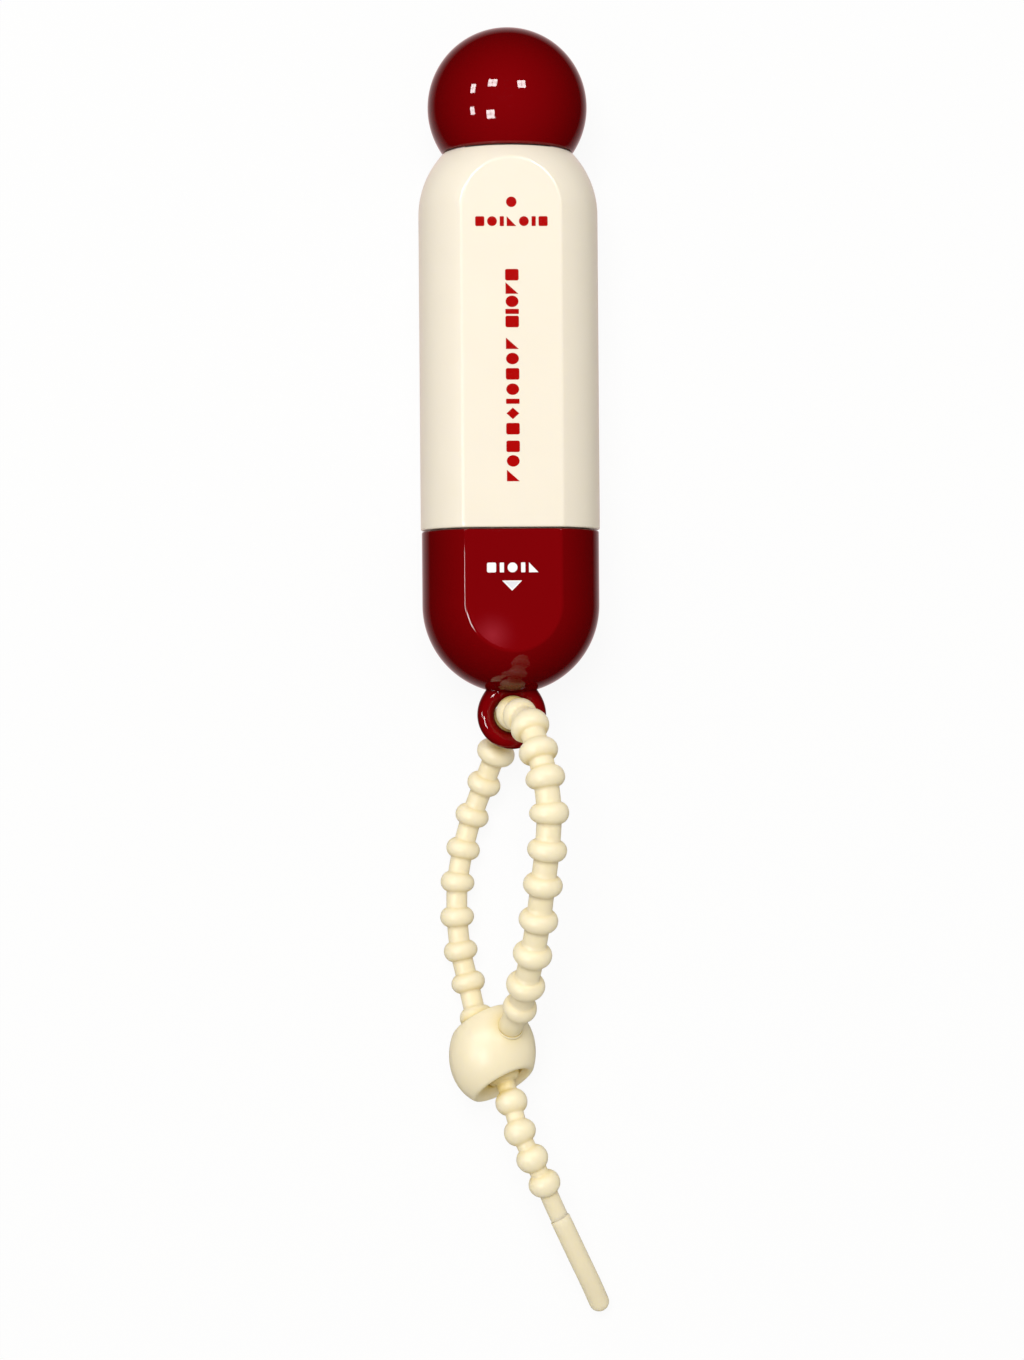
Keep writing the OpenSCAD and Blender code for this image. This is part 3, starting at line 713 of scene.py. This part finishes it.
tree, ins, outs = new_tree("bristle_field", [
    ("Bristles", "NodeSocketInt"), ("Tuft Radius", "NodeSocketFloat"), ("Length", "NodeSocketFloat"),
    ("Thickness", "NodeSocketFloat"), ("Splay", "NodeSocketFloat"), ("Seed", "NodeSocketInt"),
    ("Material", "NodeSocketMaterial")])
nodes, links = tree.nodes, tree.links
golden_angle = math.radians(137.508)
count = nodes.new("GeometryNodePoints")
links.new(ins.outputs["Bristles"], count.inputs["Count"])
index = nodes.new("GeometryNodeInputIndex").outputs["Index"]
angle = maths(tree, "MULTIPLY", index, golden_angle)
share = maths(tree, "DIVIDE", index, ins.outputs["Bristles"])
spread = maths(tree, "MULTIPLY", maths(tree, "SQRT", share), ins.outputs["Tuft Radius"])
across, rise = (maths(tree, "MULTIPLY", maths(tree, wave, angle), spread) for wave in ("COSINE", "SINE"))
spot = nodes.new("ShaderNodeCombineXYZ")
links.new(across, spot.inputs["X"])
links.new(rise, spot.inputs["Z"])
seat = nodes.new("GeometryNodeSetPosition")
links.new(count.outputs["Points"], seat.inputs["Geometry"])
links.new(spot.outputs["Vector"], seat.inputs["Position"])
rod = nodes.new("GeometryNodeMeshCone")
fill(rod, {"Vertices": 5, "Side Segments": 1})
links.new(ins.outputs["Thickness"], rod.inputs["Radius Bottom"])
links.new(maths(tree, "MULTIPLY", ins.outputs["Thickness"], 0.7), rod.inputs["Radius Top"])
links.new(ins.outputs["Length"], rod.inputs["Depth"])
lean = nodes.new("GeometryNodeInstanceOnPoints")
links.new(seat.outputs["Geometry"], lean.inputs["Points"])
links.new(rod.outputs["Mesh"], lean.inputs["Instance"])
swing = nodes.new("ShaderNodeCombineXYZ")
tilt = maths(tree, "MULTIPLY", rise, ins.outputs["Splay"])
links.new(maths(tree, "ADD", tilt, math.pi / 2), swing.inputs["X"])
links.new(maths(tree, "MULTIPLY", across, ins.outputs["Splay"]), swing.inputs["Z"])
spin = nodes.new("FunctionNodeEulerToRotation")
links.new(swing.outputs["Vector"], spin.inputs["Euler"])
links.new(spin.outputs["Rotation"], lean.inputs["Rotation"])
vary = nodes.new("FunctionNodeRandomValue")
vary.data_type = "FLOAT"
vary.inputs[2].default_value = 0.95
vary.inputs[3].default_value = 1.0
links.new(ins.outputs["Seed"], vary.inputs["Seed"])
size = nodes.new("ShaderNodeCombineXYZ")
fill(size, {"X": 1.0, "Y": 1.0})
links.new(vary.outputs[1], size.inputs["Z"])
links.new(size.outputs["Vector"], lean.inputs["Scale"])
tufts = nodes.new("GeometryNodeInstanceOnPoints")
links.new(ins.outputs["Geometry"], tufts.inputs["Points"])
links.new(lean.outputs["Instances"], tufts.inputs["Instance"])
close_tree(tree, ins, outs, tufts.outputs["Instances"])

bristles = grow("bristles", bpy.data.objects.new("tuft_seats", seats), tree, {
    "Bristles": 24, "Tuft Radius": 0.46 * MM, "Length": root_y - tuft_low_y, "Thickness": 0.075 * MM,
    "Splay": 60.0, "Seed": 7, "Material": nylon})
bristle_low_y = min(v.co.y for v in bristles.data.vertices)
bristles.data.transform(Matrix.Translation((0, tuft_low_y + 0.02 * MM - bristle_low_y, 0)))
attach(bristles, "barrel")
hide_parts("bristle_tufts")

# The table and the light: a pale studio table under the pen, a soft even room light with one lamp overhead, a
# dark tent that keeps the red plastic's edges deep, and five small windows above and to the left and a rosy card,
# which leave the glints and the glow on the ball. The tent, windows and card show in reflections only.


def emptied(owner):
    """Turns on the nodes of a material or world, and returns its tree with nothing in it."""
    owner.use_nodes = True
    owner.node_tree.nodes.clear()
    return owner.node_tree


def white_rays(tree):
    """1 for rays from the camera, reflections and clear pieces, which see the background white, else 0."""
    rays = tree.nodes.new("ShaderNodeLightPath")
    through = maths(tree, "MAXIMUM", rays.outputs["Is Glossy Ray"], rays.outputs["Is Transmission Ray"])
    return maths(tree, "MAXIMUM", rays.outputs["Is Camera Ray"], through)


def blended(tree, share, own, white, output):
    """Ends a tree with a blend from its own look to the white one, by share."""
    blend = tree.nodes.new("ShaderNodeMixShader")
    out = tree.nodes.new(output)
    tree.links.new(share, blend.inputs["Fac"])
    tree.links.new(own, blend.inputs[1])
    tree.links.new(white, blend.inputs[2])
    tree.links.new(blend.outputs["Shader"], out.inputs["Surface"])


def glowing(name, colour):
    """A material that only glows. Also returns its tree and the input for its strength."""
    material = bpy.data.materials.new(name)
    tree = emptied(material)
    glow = tree.nodes.new("ShaderNodeEmission")
    glow.inputs["Color"].default_value = (*colour, 1)
    out = tree.nodes.new("ShaderNodeOutputMaterial")
    tree.links.new(glow.outputs["Emission"], out.inputs["Surface"])
    return material, tree, glow.inputs["Strength"]


def only_in_reflections(piece):
    """Hides a piece of the stage from all rays but glossy ones."""
    for kind in ("camera", "diffuse", "transmission", "volume_scatter", "shadow"):
        setattr(piece, "visible_" + kind, False)


table = bpy.data.meshes.new("table")
table.from_pydata([(-3, -3, 0), (3, -3, 0), (3, 3, 0), (-3, 3, 0)], [], [(0, 1, 2, 3)])
paper = bpy.data.materials.new("white_table")
tree = emptied(paper)
plain = tree.nodes.new("ShaderNodeBsdfDiffuse")
plain.inputs["Color"].default_value = (0.8, 0.8, 0.8, 1)
bright = tree.nodes.new("ShaderNodeEmission")
fill(bright, {"Color": (1, 1, 1, 1), "Strength": 1.0})
blended(tree, maths(tree, "MULTIPLY", white_rays(tree), 0.92), plain.outputs["BSDF"], bright.outputs["Emission"],
        "ShaderNodeOutputMaterial")
table_top = add_piece("table", table, paper)

world = bpy.data.worlds.new("room")
bpy.context.scene.world = world
tree = emptied(world)
room, backdrop = tree.nodes.new("ShaderNodeBackground"), tree.nodes.new("ShaderNodeBackground")
fill(room, {"Color": (1, 0.965, 0.87, 1), "Strength": 0.51})
fill(backdrop, {"Color": (1, 1, 1, 1), "Strength": 1.0})
blended(tree, white_rays(tree), room.outputs["Background"], backdrop.outputs["Background"],
        "ShaderNodeOutputWorld")

# The tent's cloth is nearly black, with a pale strip on the floor close round the pen: reach is the distance to
# the pen's own line, from the brush cap's dome to the ball.
tent = bmesh.new()
bmesh.ops.create_icosphere(tent, subdivisions=4, radius=0.9)
for v in tent.verts:
    v.co.z = max(v.co.z, 0.02 * MM)
cloth, tree, strength = glowing("black_tent_cloth", (1, 0.74, 0.74))
nodes, links = tree.nodes, tree.links
place = nodes.new("ShaderNodeTexCoord")
axes = nodes.new("ShaderNodeSeparateXYZ")
links.new(place.outputs["Object"], axes.inputs["Vector"])
past = [maths(tree, "MULTIPLY_ADD", axes.outputs["Y"], sign, -sign * end_y)
        for sign, end_y in ((1, ball_y + 5 * MM), (-1, cap_dome_y))]
offset = nodes.new("ShaderNodeCombineXYZ")
links.new(axes.outputs["X"], offset.inputs["X"])
links.new(maths(tree, "MAXIMUM", maths(tree, "MAXIMUM", *past), 0.0), offset.inputs["Y"])
reach = nodes.new("ShaderNodeVectorMath")
reach.operation = "LENGTH"
links.new(offset.outputs["Vector"], reach.inputs[0])
near_pen = ramp(tree, reach.outputs["Value"], (12.5 * MM, 31 * MM, 0.85, 0.0))
on_floor = ramp(tree, axes.outputs["Z"], (1 * MM, 2 * MM, 1.0, 0.0))
links.new(maths(tree, "MULTIPLY_ADD", near_pen, on_floor, 0.015), strength)
dark_tent = add_piece("dark_tent", tent, cloth)
only_in_reflections(dark_tent)

# Each window is placed by its glint on the ball, in pixels to the right of the ball's middle and above it, where
# the ball's radius is ball_px. Then come its width and height in metres. It has four panes with bars between.
ball_middle = Vector((0, ball_y, axis_z))
ball_px = 79.3
window_far = 0.62
pane_place, pane_half = 0.255, 0.24
windows = [
    (-32.5, 14.4, 0.075, 0.125), (-13.8, 18.4, 0.130, 0.112), (13.8, 17.2, 0.120, 0.115),
    (-34.0, -7.1, 0.072, 0.108), (-16.3, -11.9, 0.125, 0.130),
]
panes = bmesh.new()
for across, up, wide, high in windows:
    a, b = across / ball_px, up / ball_px
    facing = image_right * a + image_up * b - look * math.sqrt(1 - a * a - b * b)
    toward = (2 * facing.dot(-look) * facing + look).normalized()
    side = image_up.cross(toward).normalized()
    rise = toward.cross(side)
    for col in (-pane_place, pane_place):
        for row in (-pane_place, pane_place):
            corners = [(-pane_half, -pane_half), (pane_half, -pane_half), (pane_half, pane_half),
                       (-pane_half, pane_half)]
            spots = [side * wide * (col + u) + rise * high * (row + v) for u, v in corners]
            panes.faces.new([panes.verts.new(ball_middle + toward * window_far + spot) for spot in spots])
daylight, tree, strength = glowing("window_daylight", (1, 1, 1))
strength.default_value = 46
window_panes = add_piece("window_panes", panes, daylight)
only_in_reflections(window_panes)

card_middle, card_r = Vector((0.0203, -0.0293, 0.62)), 0.009
card_sides = 32
turns = [2 * math.pi * k / card_sides for k in range(card_sides)]
card = bpy.data.meshes.new("glow_card")
card.from_pydata([card_middle + Vector((card_r * math.cos(a), card_r * math.sin(a), 0)) for a in turns], [],
                 [tuple(range(card_sides))])
rosy, tree, strength = glowing("rosy_card", (1.0, 0.14, 0.21))
nodes, links = tree.nodes, tree.links
place = nodes.new("ShaderNodeTexCoord")
centred = nodes.new("ShaderNodeMapping")
fill(centred, {"Location": -card_middle / card_r, "Scale": (1 / card_r, 1 / card_r, 1 / card_r)})
disc = nodes.new("ShaderNodeTexGradient")
disc.gradient_type = "QUADRATIC_SPHERE"
links.new(place.outputs["Object"], centred.inputs["Vector"])
links.new(centred.outputs["Vector"], disc.inputs["Vector"])
links.new(maths(tree, "MULTIPLY", disc.outputs["Fac"], 9.0), strength)
glow_card = add_piece("glow_card", card, rosy)
only_in_reflections(glow_card)


def soft_lamp(name, spot, aim, size, energy):
    """A wide soft lamp that shapes the light and leaves no glint of its own."""
    lamp = bpy.data.lights.new(name, "AREA")
    lamp.size = size
    lamp.energy = energy
    holder = bpy.data.objects.new(name, lamp)
    spot, aim = Vector(spot), Vector(aim)
    facing = (aim - spot).to_track_quat("-Z", "Y").to_matrix().to_4x4()
    holder.matrix_world = Matrix.Translation(spot) @ facing
    holder.visible_glossy = False
    bpy.context.scene.collection.objects.link(holder)


soft_lamp("overhead", (-0.15, 0.30, 0.96), (0, -0.03, 0), 0.5, 7.15)
